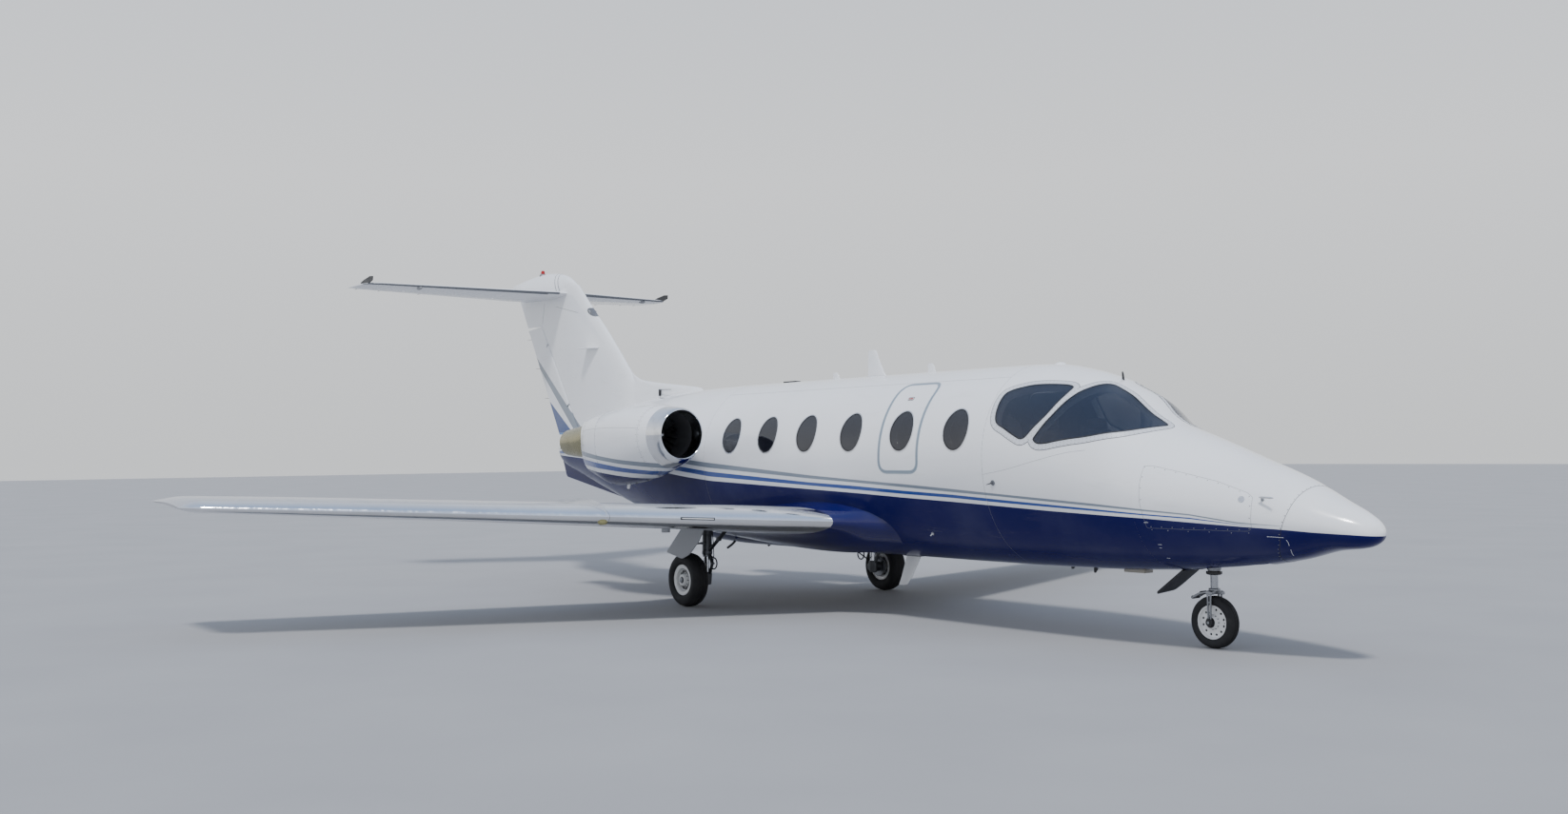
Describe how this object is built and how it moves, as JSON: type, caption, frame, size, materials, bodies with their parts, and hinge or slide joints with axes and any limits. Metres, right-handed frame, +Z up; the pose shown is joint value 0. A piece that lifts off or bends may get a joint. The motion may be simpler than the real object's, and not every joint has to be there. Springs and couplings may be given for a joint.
{
  "type": "business jet",
  "caption": "Light business jet with a low swept wing, engines on the rear fuselage, a T-tail, landing gear, an opening entry door and a furnished cabin.",
  "frame": {"origin": "on the ground below the middle of the length, on the plane of symmetry", "axes": "+X towards the nose, +Y to port, +Z up"},
  "size_m": [14.75, 13.25, 4.342],
  "materials": {
    "white_paint": "gloss",
    "navy_paint": "gloss",
    "grey_paint": "satin",
    "glazing": "polished",
    "seat_leather": "satin",
    "panel_plastic": "matte",
    "polished_metal": "polished",
    "engine_metal": "satin",
    "nozzle_metal": "satin",
    "gear_metal": "satin",
    "tyre_rubber": "matte",
    "white_rim": "satin"
  },
  "bodies": {
    "airframe": {"radome": "white_paint", "nose_section": "white_paint", "cockpit_section": "white_paint", "windshield_starboard": "glazing", "windshield_port": "glazing", "cockpit_side_window_starboard": "glazing", "cockpit_side_window_port": "glazing", "cabin_crown": "white_paint", "cabin_belly": "navy_paint", "cabin_side_starboard": "white_paint", "cabin_side_port": "white_paint", "emergency_exit": "white_paint", "exit_window": "glazing", "forward_window_starboard": "glazing", "cabin_windows_starboard": "glazing", "cabin_windows_port": "glazing", "cockpit_seats": "seat_leather", "cabin_seats_starboard": "seat_leather", "cabin_seats_port": "seat_leather", "instrument_panel": "panel_plastic", "rear_fuselage": "white_paint", "ventral_fin": "navy_paint", "wing_starboard": "grey_paint", "wing_port": "grey_paint", "flap_starboard": "grey_paint", "flap_port": "grey_paint", "wing_fairing_starboard": "navy_paint", "wing_fairing_port": "navy_paint", "fin": "white_paint", "stabilizer": "white_paint", "nacelle_starboard": "white_paint", "nacelle_port": "white_paint", "inlet_lip_starboard": "polished_metal", "inlet_lip_port": "polished_metal", "engine_core_starboard": "engine_metal", "engine_core_port": "engine_metal", "exhaust_nozzle_starboard": "nozzle_metal", "exhaust_nozzle_port": "nozzle_metal", "engine_pylon_starboard": "white_paint", "engine_pylon_port": "white_paint", "nose_leg": "gear_metal", "nose_gear_door": "navy_paint", "main_leg_starboard": "gear_metal", "main_leg_port": "gear_metal", "main_gear_door_starboard": "grey_paint", "main_gear_door_port": "grey_paint"},
    "nose_fork": {"nose_fork": "gear_metal"},
    "nose_wheel": {"nose_tyre": "tyre_rubber", "nose_rim": "white_rim"},
    "main_wheel_starboard": {"main_tyre_starboard": "tyre_rubber", "main_rim_starboard": "white_rim"},
    "main_wheel_port": {"main_tyre_port": "tyre_rubber", "main_rim_port": "white_rim"},
    "fan_starboard": {"fan_starboard": "engine_metal"},
    "fan_port": {"fan_port": "engine_metal"},
    "entry_door": {"entry_door": "white_paint"},
    "rudder": {"rudder": "white_paint"},
    "elevator_starboard": {"elevator_starboard": "white_paint"},
    "elevator_port": {"elevator_port": "white_paint"}
  },
  "joints": [
    {"name": "nose_steer", "type": "hinge", "parent": "airframe", "child": "nose_fork", "pos_m": [5.832, 0, 0.5], "axis": [0, 0, 1], "range_deg": [-45, 45]},
    {"name": "nose_wheel_spin", "type": "hinge", "parent": "nose_fork", "child": "nose_wheel", "pos_m": [5.832, 0, 0.218], "axis": [0, 1, 0], "continuous": true},
    {"name": "main_wheel_starboard_spin", "type": "hinge", "parent": "airframe", "child": "main_wheel_starboard", "pos_m": [-0.028, -1.42, 0.29], "axis": [0, 1, 0], "continuous": true},
    {"name": "main_wheel_port_spin", "type": "hinge", "parent": "airframe", "child": "main_wheel_port", "pos_m": [-0.028, 1.42, 0.29], "axis": [0, 1, 0], "continuous": true},
    {"name": "fan_starboard_spin", "type": "hinge", "parent": "airframe", "child": "fan_starboard", "pos_m": [-0.815, -1.33, 1.885], "axis": [1, 0, 0], "continuous": true},
    {"name": "fan_port_spin", "type": "hinge", "parent": "airframe", "child": "fan_port", "pos_m": [-0.815, 1.33, 1.885], "axis": [1, 0, 0], "continuous": true},
    {"name": "entry_door_hinge", "type": "hinge", "parent": "airframe", "child": "entry_door", "pos_m": [3.875, 0.862, 1.62], "axis": [0, 0, -1], "range_deg": [0, 105]},
    {"name": "rudder_hinge", "type": "hinge", "parent": "airframe", "child": "rudder", "pos_m": [-5.2476, 0, 2.38], "axis": [-0.5735, 0, 0.8192], "range_deg": [-25, 25]},
    {"name": "elevator_port_hinge", "type": "hinge", "parent": "airframe", "child": "elevator_port", "pos_m": [-6.265, 0.178, 3.99242], "axis": [-0.3452, 0.9369, 0.0548], "range_deg": [-15, 20]},
    {"name": "elevator_starboard_hinge", "type": "hinge", "parent": "airframe", "child": "elevator_starboard", "pos_m": [-6.265, -0.178, 3.99242], "axis": [0.3452, 0.9369, -0.0548], "range_deg": [-15, 20]}
  ],
  "couplings": [
    {"joint": "elevator_starboard_hinge", "follows": "elevator_port_hinge", "ratio": 1}
  ]
}
